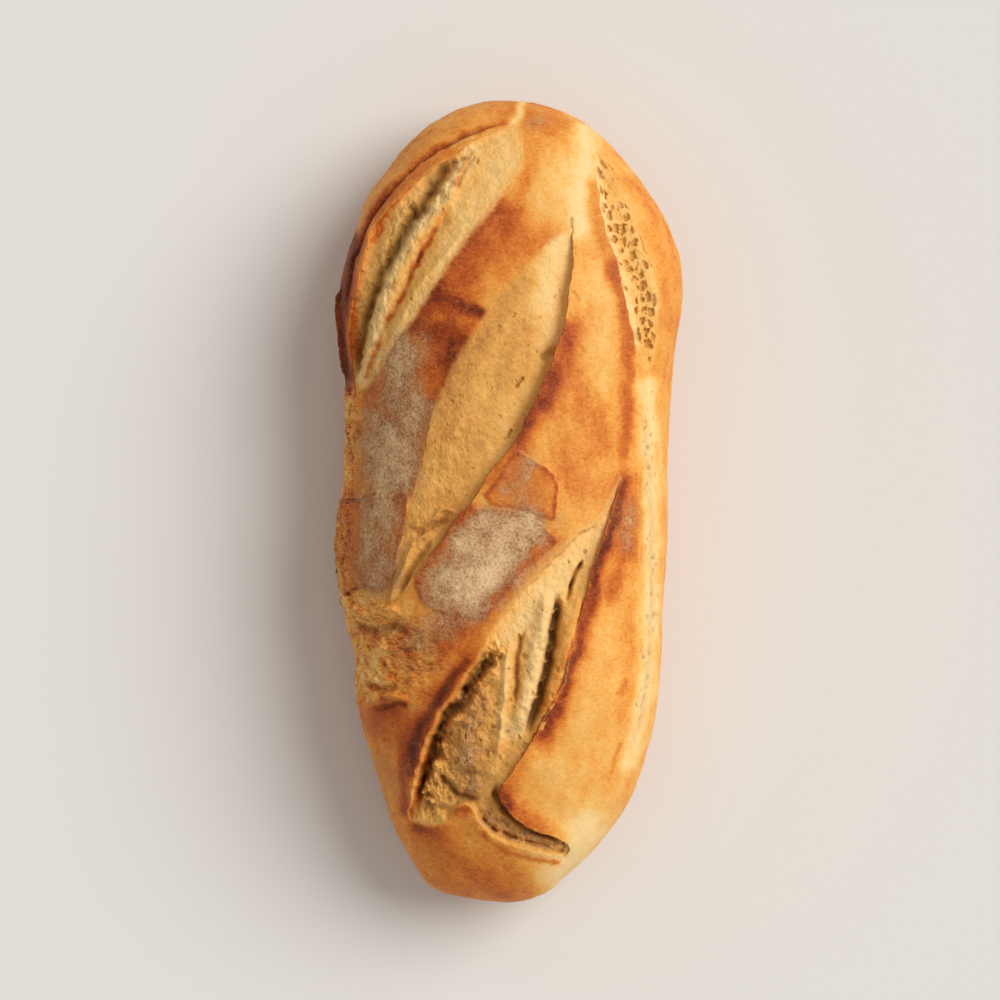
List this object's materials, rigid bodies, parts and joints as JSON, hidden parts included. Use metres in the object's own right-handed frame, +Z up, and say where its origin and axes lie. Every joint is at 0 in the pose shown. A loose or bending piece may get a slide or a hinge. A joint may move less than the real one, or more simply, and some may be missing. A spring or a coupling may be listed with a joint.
{
  "type": "country loaf",
  "caption": "Long domed hearth loaf with a flat base, slanting burst slashes, curled crust lips and torn crumb.",
  "frame": {"origin": "middle of the loaf's box, on the floor that the flat base rests on", "axes": "+Z up through the dome, +Y along the loaf towards its blunt end, +X towards the side with the pale band"},
  "size_m": [0.1292, 0.3004, 0.0806],
  "materials": {
    "crust": "matt baked crust, golden to red-brown, with a light dusting of flour; pale torn crumb in the openings"
  },
  "bodies": {
    "root": {"loaf": "crust"}
  },
  "joints": []
}
